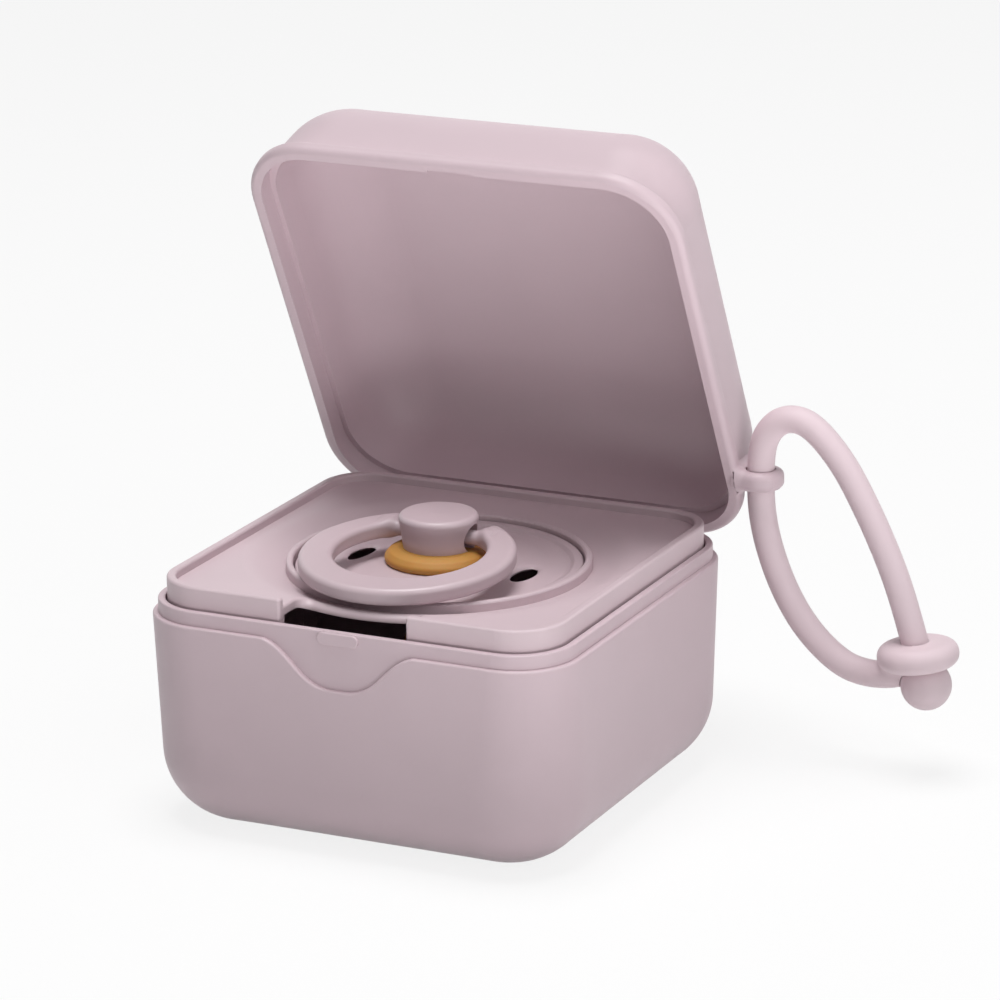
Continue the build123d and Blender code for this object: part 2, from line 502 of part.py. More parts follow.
# ---------------------------------------------------------------------------- pacifier
with BuildPart() as shield:
    with BuildSketch(Plane.XZ):
        with BuildLine():
            Line((NECK_RADIUS + NECK_CLEARANCE, CROWN_Z - SHIELD_THICKNESS),
                 (NECK_RADIUS + NECK_CLEARANCE, CROWN_Z))
            crown = Line((NECK_RADIUS + NECK_CLEARANCE, CROWN_Z), (COLLAR_CONE_RADIUS, CROWN_Z))
            face = ThreePointArc(
                crown @ 1,
                ((COLLAR_CONE_RADIUS + SHIELD_RADIUS - SHIELD_BAND) / 2,
                 CROWN_Z - SHIELD_SAG),
                (SHIELD_RADIUS - SHIELD_BAND, SHIELD_TOP_Z - SHIELD_BAND_RISE))
            Line(face @ 1, (SHIELD_RADIUS - SHIELD_BAND + SHIELD_BAND_RISE, SHIELD_TOP_Z))
            Line((SHIELD_RADIUS - SHIELD_BAND + SHIELD_BAND_RISE, SHIELD_TOP_Z),
                 (SHIELD_RADIUS, SHIELD_TOP_Z))
            Line((SHIELD_RADIUS, SHIELD_TOP_Z), (SHIELD_RADIUS, SHIELD_FOOT_Z))
            Line((SHIELD_RADIUS, SHIELD_FOOT_Z), (SEAT_INNER - SHIELD_SEAT_GAP, SHIELD_FOOT_Z))
            ThreePointArc(
                (SEAT_INNER - SHIELD_SEAT_GAP, SHIELD_FOOT_Z),
                ((COLLAR_CONE_RADIUS + SEAT_INNER) / 2,
                 CROWN_Z - SHIELD_THICKNESS - SHIELD_SAG),
                (NECK_RADIUS + NECK_CLEARANCE, CROWN_Z - SHIELD_THICKNESS))
        make_face()
        fillet(vertices().sort_by(Axis.X)[-2:], SHIELD_ROUND)
    revolve(axis=Axis.Z)
    with BuildSketch(Plane.XY.offset(SHIELD_FOOT_Z - SHIELD_THICKNESS)):
        with Locations((VENT_X, VENT_Y, 0), (-VENT_X, VENT_Y, 0)):
            SlotOverall(VENT_LENGTH, VENT_WIDTH, rotation=90)
    extrude(amount=2 * SHIELD_THICKNESS + SHIELD_CROWN + SHIELD_BAND_RISE, mode=Mode.SUBTRACT)
shield.part.label = "pacifier_shield"
export_step(shield.part, "parts/pacifier_shield.step")

# The teat is one soft piece: bulb, neck through the shield, collar on top of it.
TEAT_TIP_Z = SHIELD_FOOT_Z - TEAT_LENGTH
with BuildPart() as teat:
    with BuildSketch(Plane.XZ):
        with BuildLine():
            outer = Spline(
                (0, TEAT_TIP_Z),
                (TEAT_BULB, TEAT_TIP_Z + TEAT_BULB),
                (TEAT_NECK, SHIELD_FOOT_Z - TEAT_NECK),
                tangents=[(1, 0), (0, 1), (0, 1)],
            )
            Line(outer @ 1, (NECK_RADIUS, CROWN_Z - SHIELD_THICKNESS))
            Line((NECK_RADIUS, CROWN_Z - SHIELD_THICKNESS), (NECK_RADIUS, CROWN_Z + TEAT_GAP))
            Line((NECK_RADIUS, CROWN_Z + TEAT_GAP), (COLLAR_CONE_RADIUS, CROWN_Z + TEAT_GAP))
            ThreePointArc(
                (COLLAR_CONE_RADIUS, CROWN_Z + TEAT_GAP),
                ((COLLAR_CONE_RADIUS + COLLAR_CONE_TOP) / 2 + COLLAR_CONE_BULGE,
                 (CROWN_Z + KNOB_FOOT_Z) / 2 + COLLAR_CONE_BULGE),
                (COLLAR_CONE_TOP, KNOB_FOOT_Z - TEAT_GAP))
            Line((COLLAR_CONE_TOP, KNOB_FOOT_Z - TEAT_GAP), (0, KNOB_FOOT_Z - TEAT_GAP))
            Line((0, KNOB_FOOT_Z - TEAT_GAP), (0, TEAT_TIP_Z))
        make_face()
    revolve(axis=Axis.Z)
teat.part.label = "pacifier_teat"
export_step(teat.part, "parts/pacifier_teat.step")

with BuildPart() as knob:
    with BuildSketch(Plane.XZ):
        Polygon(
            (0, KNOB_FOOT_Z),
            (KNOB_FOOT_RADIUS, KNOB_FOOT_Z),
            (KNOB_TOP_RADIUS, KNOB_TOP_Z),
            (0, KNOB_TOP_Z - KNOB_DISH),
            align=None,
        )
    revolve(axis=Axis.Z)
    fillet(knob.edges().filter_by(GeomType.CIRCLE).group_by(Axis.Z)[-1], KNOB_ROUND)
    for side in (-1, 1):
        with BuildSketch(side_plane(side * KNOB_TOP_RADIUS)):
            with Locations((0, RING_PIVOT_Z)):
                Circle(KNOB_HOLE)
        extrude(amount=-side * KNOB_HOLE_DEPTH, mode=Mode.SUBTRACT)
knob.part.label = "pacifier_knob"
export_step(knob.part, "parts/pacifier_knob.step")

# The ring is drawn level about the pivot, cut open at the knob and turned to its rest.
with BuildPart() as ring_level:
    with BuildSketch(Plane.XY.offset(RING_PIVOT_Z - RING_THICKNESS / 2)):
        with Locations((0, -RING_OFFSET)):
            Circle(RING_OUTER)
            Circle(RING_INNER, mode=Mode.SUBTRACT)
        with Locations((0, RING_OUTER - RING_OFFSET)):
            Rectangle(2 * RING_GAP_HALF, 2 * RING_OUTER, mode=Mode.SUBTRACT)
        fillet(vertices(), RING_END_ROUND)
    extrude(amount=RING_THICKNESS)
    fillet(ring_level.edges(), RING_ROUND)
    for side in (-1, 1):
        with BuildSketch(side_plane(side * (KNOB_TOP_RADIUS - STUB_REACH))):
            with Locations((0, RING_PIVOT_Z)):
                Circle(STUB_RADIUS)
        extrude(amount=side * STUB_LENGTH)
ring = ring_level.part.rotate(Axis((0, 0, RING_PIVOT_Z), (1, 0, 0)), RING_TILT)
ring.label = "pacifier_ring"
export_step(ring, "parts/pacifier_ring.step")

# ------------------------------------------------------------------------------- strap
# The strap is one soft moulding. Its cord leaves the disc, runs up through the eye, over
# its arch and down to the disc again, where the ball on its end is pushed through the hole.
# Points of the route, across and up from the middle of the eye.
strap_route = [
    (19.3, -29.5),
    (16.5, -29.5),
    (12.6, -27.8),
    (7.9, -23.6),
    (4.3, -18.1),
    (1.7, -11.8),
    (0.3, -6.0),
    (0.0, -0.4),
    (0.2, 4.8),
    (1.3, 7.8),
    (3.7, 10.0),
    (7.0, 10.2),
    (10.1, 8.2),
    (14.1, 3.6),
    (17.7, -2.7),
    (21.0, -9.4),
    (23.8, -16.3),
    (25.9, -23.45),
]
strap_points = [Vector(EYE_X + across, EYE_Y, EYE_Z + up) for across, up in strap_route]


def corner_radii(points):
    """Radius of the arc at each corner of a route, as large as its two runs allow."""
    radii = []
    for before, corner, after in zip(points, points[1:], points[2:]):
        first, second = corner - before, after - corner
        turn = math.radians(first.get_angle(second))
        radii.append(ROUTE_TURN * min(first.length, second.length) / math.tan(turn / 2))
    return radii


strap_radii = corner_radii(strap_points)
print("strap radii", [round(radius, 1) for radius in strap_radii])

with BuildPart() as strap_cord:
    with BuildLine() as strap_path:
        FilletPolyline(*strap_points, radius=strap_radii)
    with BuildSketch(Plane(strap_path.line @ 0, z_dir=strap_path.line % 0)):
        Circle(STRAP_DIAMETER / 2)
    sweep()
strap_cord.part.label = "strap_cord"
strap_length = strap_path.wire().length
print("strap length", round(strap_length, 1), "volume", round(strap_cord.part.volume, 1),
      "section x length", round(math.pi * STRAP_DIAMETER ** 2 / 4 * strap_length, 1))
export_step(strap_cord.part, "parts/strap_cord.step")

# The disc and the ball sit square on the strap's last run.
disc_axis = (strap_points[-2] - strap_points[-1]).normalized()
disc_centre = strap_points[-1] - disc_axis * DISC_THICKNESS / 2
disc_profile = Plane(disc_centre, x_dir=Vector(0, 1, 0).cross(disc_axis), z_dir=(0, -1, 0))
BALL_DROP = DISC_THICKNESS / 2 + BALL_GAP + math.sqrt(
    BALL_RADIUS ** 2 - (DISC_HOLE + DISC_SEAT) ** 2)

with BuildPart() as strap_disc:
    with BuildSketch(disc_profile):
        with Locations((DISC_RADIUS / 2, 0)):
            Rectangle(DISC_RADIUS, DISC_THICKNESS)
        fillet(vertices().sort_by(Axis.X)[-2:], DISC_ROUND)
    revolve(axis=Axis(disc_centre, disc_axis))
    # stub that the cord grows out of
    with BuildSketch(Plane(strap_points[0], z_dir=strap_points[0] - strap_points[1])):
        Circle(STRAP_DIAMETER / 2)
    extrude(amount=STRAP_DIAMETER / 2)
    with Locations(strap_points[0] + (strap_points[0] - strap_points[1]).normalized()
                   * STRAP_DIAMETER / 2):
        Sphere(STRAP_DIAMETER / 2)
    with BuildSketch(disc_profile):
        Polygon(
            (0, -DISC_THICKNESS),
            (DISC_HOLE + 2 * DISC_SEAT, -DISC_THICKNESS),
            (DISC_HOLE + DISC_SEAT, -DISC_THICKNESS / 2),
            (DISC_HOLE, -DISC_THICKNESS / 2 + DISC_SEAT),
            (DISC_HOLE, DISC_THICKNESS),
            (0, DISC_THICKNESS),
            align=None,
        )
    revolve(axis=Axis(disc_centre, disc_axis), mode=Mode.SUBTRACT)
strap_disc.part.label = "strap_disc"
export_step(strap_disc.part, "parts/strap_disc.step")

with BuildPart() as strap_ball:
    with Locations(disc_centre - disc_axis * BALL_DROP):
        Sphere(BALL_RADIUS)
    with BuildSketch(Plane(disc_centre - disc_axis * BALL_DROP, z_dir=disc_axis)):
        Circle(STEM_RADIUS)
    extrude(amount=BALL_DROP + DISC_THICKNESS / 2)
strap_ball.part.label = "strap_ball"
export_step(strap_ball.part, "parts/strap_ball.step")
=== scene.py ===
"""Dresses a travel pacifier case: moulded shells and tray, a pacifier, a soft strap and a stage.

The file is laid out as an add-on. Run as a script, it builds everything once around the frame.
Lengths are in metres and +Z is up. The front of the case faces -Y, and its strap is at +X.
"""

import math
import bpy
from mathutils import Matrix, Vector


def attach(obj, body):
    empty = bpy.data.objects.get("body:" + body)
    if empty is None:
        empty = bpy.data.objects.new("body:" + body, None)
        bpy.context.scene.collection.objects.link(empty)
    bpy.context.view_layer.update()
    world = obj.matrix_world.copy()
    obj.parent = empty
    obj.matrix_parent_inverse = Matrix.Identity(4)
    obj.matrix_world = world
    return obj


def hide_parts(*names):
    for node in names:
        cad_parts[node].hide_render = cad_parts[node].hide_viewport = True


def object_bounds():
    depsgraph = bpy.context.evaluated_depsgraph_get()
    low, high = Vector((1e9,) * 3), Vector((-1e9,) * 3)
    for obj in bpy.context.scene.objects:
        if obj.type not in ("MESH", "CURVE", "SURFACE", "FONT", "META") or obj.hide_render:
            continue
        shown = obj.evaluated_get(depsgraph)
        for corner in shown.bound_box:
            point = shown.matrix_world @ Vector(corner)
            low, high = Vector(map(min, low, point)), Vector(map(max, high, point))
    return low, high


bl_info = {
    "name": "Pacifier case",
    "version": (1, 0, 0),
    "blender": (4, 5, 0),
    "location": "View3D > Sidebar > Case",
    "description": "Builds the looks of a travel case for a pacifier, piece by piece",
    "category": "Object",
}

import bpy
import numpy as np
from bpy.props import FloatProperty, FloatVectorProperty, PointerProperty
from mathutils import Matrix, Vector

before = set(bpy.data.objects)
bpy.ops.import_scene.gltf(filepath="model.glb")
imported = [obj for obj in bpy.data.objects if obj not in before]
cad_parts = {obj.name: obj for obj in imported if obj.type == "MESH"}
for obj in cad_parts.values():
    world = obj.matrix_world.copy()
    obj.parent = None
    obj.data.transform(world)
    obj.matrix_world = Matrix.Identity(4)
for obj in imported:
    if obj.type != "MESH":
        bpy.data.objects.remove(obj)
CAD_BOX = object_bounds()

MM = 0.001

# Everything down to the lamps is in millimetres, in the frame of the open case.
# Lid: where its rim lies, for the eye that is blended into it
HINGE = (36.6, 32.6)        # y and z of the hinge's axis
LID_OPEN = math.radians(63.15)
LID_HALF = 35.3             # half width and half depth of the lid at its rim
LID_CORNER = 10.5           # radius of the lid's upright corners
RIM_Z = 33.65               # the closed lid's rim
BEAD_HEIGHT = 2.3
BEAD_PROUD = 1.05           # how far the rim's bead stands out from the lid's side
BEAD_ROUND = 0.95
WALL_START = 1.0            # the lid's wall begins this far over its rim
WALL_DRAFT = math.tan(math.radians(2.5))
WALL_SUNK = 0.15            # how far under the lid's side the blend's own wall lies
WALL_SKIN = 0.8             # how far the blend reaches into the lid's wall
BASE_REACH = 0.6            # the blend stays off the base as far out as this

# Eye on the lid's rim
EYE_ROOT = 5.6              # depth of the eye's root from its middle
EYE_ROOTS = (3.23, 6.5)     # half widths of the root, in front and behind
EYE_SKIN = 0.04             # the loop's skin over the lid's own eye
EYE_BALL = 7.0              # radius of the ball that the blend stays in
EYE_ROOM = 0.5              # room round that ball
EYE_TIP = 5                 # room from the eye's middle past its tip

# Ring and its two pins
PIVOT_Z = 41.3              # height of the ring's pins
RING_OFFSET = 10.9          # the ring's middle in front of its pins
RING_GAP_HALF = 7.2         # half of the gap that the knob stands in
RING_END = 1.7              # rounding of the ring's two ends
RING_EDGE = 0.9
RING_BEHIND = 5             # room behind the pins
RING_BELOW = 5
RING_ABOVE = 3
PIN_RADIUS = 1.15
PIN_START = 4.65            # the pins run from this x to the next
PIN_STOP = 9.0
PIN_BLEND = 1.3

# Shield: its section, as (radius, z) of an outline that is then rounded
SHIELD_OUTLINE = [(5.6, 35.75), (19.2, 35.52), (21.88, 35.52), (21.88, 36.5), (21.65, 36.58),
                  (20.75, 36.55), (20.3, 36.15), (19.6, 35.98), (17.0, 36.0), (13.0, 36.25),
                  (8.4, 36.78), (5.6, 36.78)]
SHIELD_ROUND = 0.22
SHIELD_HEIGHTS = (34.6, 37.8)
VENT = (13.8, 1.0)          # x and y of the right vent's middle
VENT_HALF = (1.5, 3.3)      # half width and half length
VENT_LIP = 0.9

# Latex skirt between the shield and the knob: its section in the same way
SKIRT_OUTLINE = [(5.5, 37.7), (7.6, 37.7), (7.2, 38.15), (6.2, 38.55), (5.5, 38.55)]
SKIRT_ROUND = 0.8
SKIRT_HEIGHTS = (36, 40.2)

# Strap's disc and ball, and the root that joins the cord to the disc
BALL = (66.76, 34.4, 15.07)     # middle of the ball
BALL_RADIUS = 4.0
BALL_ROOM = 0.05            # gap between the ball and its nest under the disc
DISC = (65.36, 34.4, 19.83)     # middle of the disc
DISC_TURN = math.radians(6)     # lean of the disc
DISC_RADIUS = 6.4
DISC_HALF = 1.95            # half thickness
DISC_EDGE = 1.85
DISC_BOX = ((55, 27, 12.5), (73, 42, 24))
STEM_TURN = math.radians(16.4)  # lean of the cord where it goes through the disc
STEM_HOLE = 2.05
SLEEVE_HALF = 1.2           # half height of the fill round the cord, over the disc's middle
SLEEVE_UNDER = 0.02         # how far the fill stays under the cord's skin
CORD_RADIUS = 2.15
ROOT = [(57.9, 34.4, 15.7), (60.6, 34.4, 15.7), (63.4, 34.6, 16.7)]
ROOT_STEPS = 8
ROOT_BLEND = 1.3

# Grids that the soft forms are found on
EYE_CELL = 0.2
FORM_CELL = 0.26
FORM_ROOM = 1               # room round a form
SETTLE_ROUNDS = 4           # how often the found points are moved on to the surface
SETTLE_SHARE = 0.8          # share of the way in one round

# The strap's route, looked at from the front: (x, z) of each control point.
STRAP_ROUTE = (
    (58.2, 15.7),
    (55.4, 15.7),
    (51.5, 17.4),
    (46.8, 21.6),
    (43.2, 27.1),
    (40.6, 33.4),
    (39.2, 39.2),
    (38.9, 44.8),
    (39.1, 50.0),
    (40.2, 53.0),
    (42.6, 55.2),
    (45.9, 55.4),
    (49.0, 53.4),
    (53.0, 48.8),
    (56.6, 42.5),
    (59.9, 35.8),
    (62.7, 28.9),
    (64.8, 21.75),
)

# Lamps, in metres: name, place, size and the setting that holds the power
LAMPS = (
    ("top_lamp", (0, -0.03, 0.94), 0.45, "top"),
    ("right_lamp", (0.675, -0.39, 0.49), 0.5, "right"),
    ("back_lamp", (0.41, 0.41, 0.73), 0.6, "back"),
    ("front_low_lamp", (0.116, -0.32, 0.004), 0.3, "low"),
    ("right_low_lamp", (0.294, -0.17, 0.004), 0.3, "low"),
)
FLOOR_HALF = 2.0
FLOOR_GREY = 0.86

# How a moulding's skin varies
PORE_SHARE = 0.35           # share of the pores in the grain
NOISE_RANGE = (0.3, 0.7)    # the noise's usual lowest and highest values
MOTTLE_DARK = 0.965         # the darkest and lightest patches, as shares of the colour
MOTTLE_LIGHT = 1.03


def srgb(red, green, blue):
    """A colour given in the 0-255 numbers of a screen, as the linear numbers that shaders use."""
    def linear(channel):
        share = channel / 255
        return share / 12.92 if share <= 0.04045 else ((share + 0.055) / 1.055) ** 2.4
    return linear(red), linear(green), linear(blue)


# ------------------------------------------------------------------------------ settings
class CaseColours(bpy.types.PropertyGroup):
    """Colours of the mouldings."""

    shell: FloatVectorProperty(
        name="Shells", description="Base and lid", subtype="COLOR", size=3, min=0, max=1,
        default=srgb(198, 178, 185))
    tray: FloatVectorProperty(
        name="Tray", description="Lift-out tray", subtype="COLOR", size=3, min=0, max=1,
        default=srgb(203, 184, 190))
    pacifier: FloatVectorProperty(
        name="Pacifier", description="Shield, knob and ring", subtype="COLOR", size=3,
        min=0, max=1, default=srgb(197, 178, 184))
    latex: FloatVectorProperty(
        name="Latex", description="Teat and its skirt", subtype="COLOR", size=3, min=0,
        max=1, default=srgb(190, 137, 62))
    strap: FloatVectorProperty(
        name="Strap", description="Soft strap", subtype="COLOR", size=3, min=0, max=1,
        default=srgb(213, 194, 200))
    steel: FloatVectorProperty(
        name="Pin", description="Hinge pin", subtype="COLOR", size=3, min=0, max=1,
        default=srgb(196, 196, 200))


class SkinSettings(bpy.types.PropertyGroup):
    """How fine and how deep the mouldings' surface texture is."""

    grain_size: FloatProperty(
        name="Grain size", description="Width of one grain of the mould's texture",
        default=0.22 * MM, min=0.05 * MM, subtype="DISTANCE", unit="LENGTH")
    grain_depth: FloatProperty(
        name="Grain depth", description="Height of the grain",
        default=0.012 * MM, min=0, subtype="DISTANCE", unit="LENGTH")
    mottle_size: FloatProperty(
        name="Mottle size", description="Width of the faint patches in colour and gloss",
        default=14 * MM, min=1 * MM, subtype="DISTANCE", unit="LENGTH")


class StrapSettings(bpy.types.PropertyGroup):
    """Sizes of the strap."""

    diameter: FloatProperty(
        name="Diameter", description="Thickness of the cord", default=4.3 * MM, min=1 * MM,
        subtype="DISTANCE", unit="LENGTH")
    depth: FloatProperty(
        name="Place", description="Y of the plane that the strap hangs in",
        default=34.4 * MM, subtype="DISTANCE", unit="LENGTH")
    length: FloatProperty(
        name="Length", description="Length of the cord from the disc and back to it",
        default=92.2 * MM, subtype="DISTANCE", unit="LENGTH")


class EyeSettings(bpy.types.PropertyGroup):
    """The loop on the lid's rim that the strap goes through."""

    place: FloatVectorProperty(
        name="Place", description="Middle of the eye while the lid stands open", size=3,
        default=(38.9 * MM, 34.4 * MM, 45.2 * MM), subtype="XYZ", unit="LENGTH")
    hole: FloatProperty(
        name="Hole", description="Radius of the eye's hole", default=2.35 * MM, min=0,
        subtype="DISTANCE", unit="LENGTH")
    wall: FloatProperty(
        name="Wall", description="Thickness of the loop", default=1.35 * MM, min=0,
        subtype="DISTANCE", unit="LENGTH")
    height: FloatProperty(
        name="Height", description="Height of the loop", default=3.0 * MM, min=0,
        subtype="DISTANCE", unit="LENGTH")
    edge: FloatProperty(
        name="Edge", description="Rounding of the loop's edges", default=1.1 * MM, min=0,
        subtype="DISTANCE", unit="LENGTH")
    reach: FloatProperty(
        name="Reach", description="From the lid's side to the eye's middle",
        default=3.6 * MM, subtype="DISTANCE", unit="LENGTH")
    blend: FloatProperty(
        name="Blend", description="Radius of the soft turn from the loop into the rim",
        default=1.5 * MM, min=0, subtype="DISTANCE", unit="LENGTH")


class RingSettings(bpy.types.PropertyGroup):
    """The pacifier's ring."""

    outer: FloatProperty(
        name="Outer", description="Outer radius", default=16.6 * MM, min=0,
        subtype="DISTANCE", unit="LENGTH")
    inner: FloatProperty(
        name="Inner", description="Radius of the hole", default=11.65 * MM, min=0,
        subtype="DISTANCE", unit="LENGTH")
    wider: FloatProperty(
        name="Wider front", description="How far the hole is set back in the ring",
        default=0.85 * MM, subtype="DISTANCE", unit="LENGTH")
    thickness: FloatProperty(
        name="Thickness", description="Height of the ring", default=2.7 * MM, min=0,
        subtype="DISTANCE", unit="LENGTH")
    tilt: FloatProperty(
        name="Tilt", description="How far the ring's front is down",
        default=math.radians(4.2), subtype="ANGLE", unit="ROTATION")


class StageSettings(bpy.types.PropertyGroup):
    """Camera, lamps and floor."""

    camera_place: FloatVectorProperty(
        name="Camera place", description="Where the camera stands", size=3,
        default=(0.3220, -0.6521, 0.2689), subtype="XYZ", unit="LENGTH")
    azimuth: FloatProperty(
        name="Azimuth", description="Turn of the view to the right of the front",
        default=math.radians(25.539), subtype="ANGLE", unit="ROTATION")
    elevation: FloatProperty(
        name="Elevation", description="How far the view looks down",
        default=math.radians(17.006), subtype="ANGLE", unit="ROTATION")
    roll: FloatProperty(
        name="Roll", description="Turn of the picture in its own plane",
        default=math.radians(-0.670), subtype="ANGLE", unit="ROTATION")
    lens: FloatProperty(
        name="Lens", description="Focal length in millimetres on a 36 mm sensor",
        default=179.37, min=10)
    sky: FloatProperty(
        name="Sky", description="Strength of the even light from all round", default=0.08,
        min=0)
    top: FloatProperty(
        name="Top lamp", description="Power of the lamp overhead", default=7.2, min=0,
        unit="POWER")
    right: FloatProperty(
        name="Right lamp", description="Power of the lamp on the right", default=1.75, min=0,
        unit="POWER")
    back: FloatProperty(
        name="Back lamp", description="Power of the lamp behind", default=0.8, min=0,
        unit="POWER")
    low: FloatProperty(
        name="Low lamps", description="Power of each of the two lamps on the floor",
        default=1.2, min=0, unit="POWER")
    shadow: FloatProperty(
        name="Floor shadow", description="How much of the object's shadow the floor shows",
        default=0.16, min=0, max=1, subtype="FACTOR")


class CaseSettings(bpy.types.PropertyGroup):
    """Everything that the operators read."""

    colours: PointerProperty(type=CaseColours)
    skin: PointerProperty(type=SkinSettings)
    strap: PointerProperty(type=StrapSettings)
    eye: PointerProperty(type=EyeSettings)
    ring: PointerProperty(type=RingSettings)
    stage: PointerProperty(type=StageSettings)


# ---------------------------------------------------------------------------- node groups
def node_group(name, inputs, outputs):
    """A new shader group with float, vector or colour sockets, and its two end nodes."""
    tree = bpy.data.node_groups.new(name, "ShaderNodeTree")
    for label, kind in inputs:
        tree.interface.new_socket(label, in_out="INPUT", socket_type="NodeSocket" + kind)
    for label, kind in outputs:
        tree.interface.new_socket(label, in_out="OUTPUT", socket_type="NodeSocket" + kind)
    return tree, tree.nodes.new("NodeGroupInput"), tree.nodes.new("NodeGroupOutput")


def add_node(tree, kind, **settings):
    """A node of a kind, with its settings; a setting that names a socket sets its value."""
    node = tree.nodes.new(kind)
    for label, value in settings.items():
        if hasattr(node, label):
            setattr(node, label, value)
        else:
            node.inputs[label.replace("_", " ")].default_value = value
    return node


def moulded_skin():
    """The skin of a moulding: fine grain, and faint patches that change colour and gloss."""
    name = "Moulded skin"
    if name in bpy.data.node_groups:
        return bpy.data.node_groups[name]
    tree, given, result = node_group(
        name,
        (("Place", "Vector"), ("Grain per metre", "Float"), ("Mottle per metre", "Float")),
        (("Grain", "Float"), ("Mottle", "Float"), ("Gloss", "Float")),
    )
    grain = add_node(tree, "ShaderNodeTexNoise", Detail=3.0, Roughness=0.6)
    pores = add_node(tree, "ShaderNodeTexVoronoi", feature="F1", Randomness=1.0)
    mixed = add_node(tree, "ShaderNodeMath", operation="MULTIPLY_ADD")
    mixed.inputs[1].default_value = PORE_SHARE
    patches = add_node(tree, "ShaderNodeTexNoise", Detail=2.0, Roughness=0.5)
    gloss = add_node(tree, "ShaderNodeTexNoise", Detail=4.0, Roughness=0.65, Distortion=0.6)
    join = tree.links.new
    for texture in (grain, pores, patches, gloss):
        join(given.outputs["Place"], texture.inputs["Vector"])
    for texture in (grain, pores):
        join(given.outputs["Grain per metre"], texture.inputs["Scale"])
    for texture in (patches, gloss):
        join(given.outputs["Mottle per metre"], texture.inputs["Scale"])
    join(pores.outputs["Distance"], mixed.inputs[0])
    join(grain.outputs["Fac"], mixed.inputs[2])
    join(mixed.outputs[0], result.inputs["Grain"])
    join(patches.outputs["Fac"], result.inputs["Mottle"])
    join(gloss.outputs["Fac"], result.inputs["Gloss"])
    return tree


# ------------------------------------------------------------------------------ materials
def moulded(name, colour, skin, roughness, spread=0.06, bump=1.0, **sockets):
    """A moulded surface: its colour drifts by a few percent and its gloss by spread."""
    if name in bpy.data.materials:
        return bpy.data.materials[name]
    material = bpy.data.materials.new(name)
    material.use_nodes = True
    tree = material.node_tree
    shader = tree.nodes["Principled BSDF"]
    for label, value in sockets.items():
        shader.inputs[label.replace("_", " ")].default_value = value
    place = tree.nodes.new("ShaderNodeTexCoord")
    group = tree.nodes.new("ShaderNodeGroup")
    group.node_tree = moulded_skin()
    group.inputs["Grain per metre"].default_value = 1 / skin.grain_size
    group.inputs["Mottle per metre"].default_value = 1 / skin.mottle_size
    tint = add_node(tree, "ShaderNodeMix", data_type="RGBA")
    shade = [channel * MOTTLE_DARK for channel in colour]
    light = [min(1, channel * MOTTLE_LIGHT) for channel in colour]
    tint.inputs["A"].default_value = (*shade, 1)
    tint.inputs["B"].default_value = (*light, 1)
    rough = add_node(tree, "ShaderNodeMapRange")
    rough.inputs["From Min"].default_value = NOISE_RANGE[0]
    rough.inputs["From Max"].default_value = NOISE_RANGE[1]
    rough.inputs["To Min"].default_value = roughness - spread / 2
    rough.inputs["To Max"].default_value = roughness + spread / 2
    relief = add_node(tree, "ShaderNodeBump", Strength=0.5)
    relief.inputs["Distance"].default_value = skin.grain_depth * bump
    join = tree.links.new
    join(place.outputs["Object"], group.inputs["Place"])
    join(group.outputs["Mottle"], tint.inputs["Factor"])
    join(tint.outputs["Result"], shader.inputs["Base Color"])
    join(group.outputs["Gloss"], rough.inputs["Value"])
    join(rough.outputs["Result"], shader.inputs["Roughness"])
    join(group.outputs["Grain"], relief.inputs["Height"])
    join(relief.outputs["Normal"], shader.inputs["Normal"])
    return material


def dress(piece, material):
    """The piece wears this material alone."""
    piece.data.materials.clear()
    piece.data.materials.append(material)
    return piece


def settings_of(context):
    """The settings that the operators share."""
    return context.scene.pacifier_case


def shell_plastic(given):
    """The satin plastic of the base and the lid."""
    return moulded("Lid and base plastic", given.colours.shell, given.skin, roughness=0.46)


def pacifier_plastic(given):
    """The harder, smoother plastic of the shield, the knob and the ring."""
    return moulded("Pacifier plastic", given.colours.pacifier, given.skin, roughness=0.4)


def silicone(given):
    """The soft, matt rubber of the strap."""
    return moulded("Silicone", given.colours.strap, given.skin, roughness=0.62,
                   Sheen_Weight=0.12, Sheen_Roughness=0.4)


# ------------------------------------------------------------------------ soft solid forms
def rounded_union(first, second, radius):
    """Two distance fields joined with a hollow fillet of a radius."""
    corner = np.hypot(np.maximum(radius - first, 0), np.maximum(radius - second, 0))
    return np.maximum(radius, np.minimum(first, second)) - corner


def slab(distance, height, half_height, edge):
    """A flat outline's distance field made into a plate with rounded edges."""
    across, up = distance + edge, np.abs(height) - half_height + edge
    outside = np.hypot(np.maximum(across, 0), np.maximum(up, 0))
    return outside + np.minimum(np.maximum(across, up), 0) - edge


def bar(x, y, z, start, end):
    """Distance to the straight line between two points."""
    run = [b - a for a, b in zip(start, end)]
    share = sum((value - a) * step for value, a, step in zip((x, y, z), start, run))
    share = np.clip(share / sum(step ** 2 for step in run), 0, 1)
    return np.sqrt(sum((value - a - share * step) ** 2
                       for value, a, step in zip((x, y, z), start, run)))


def outline_distance(x, y, corners):
    """Distance to a closed polygon, negative inside it."""
    nearest = np.full(x.shape, np.inf)
    inside = np.zeros(x.shape, bool)
    for (ax, ay), (bx, by) in zip(corners, corners[1:] + corners[:1]):
        run = np.clip(((x - ax) * (bx - ax) + (y - ay) * (by - ay))
                      / ((bx - ax) ** 2 + (by - ay) ** 2), 0, 1)
        nearest = np.minimum(nearest, np.hypot(x - ax - run * (bx - ax), y - ay - run * (by - ay)))
        if ay != by:
            crossed = (ay > y) != (by > y)
            inside ^= crossed & (x < ax + (y - ay) * (bx - ax) / (by - ay))
    return np.where(inside, -nearest, nearest)


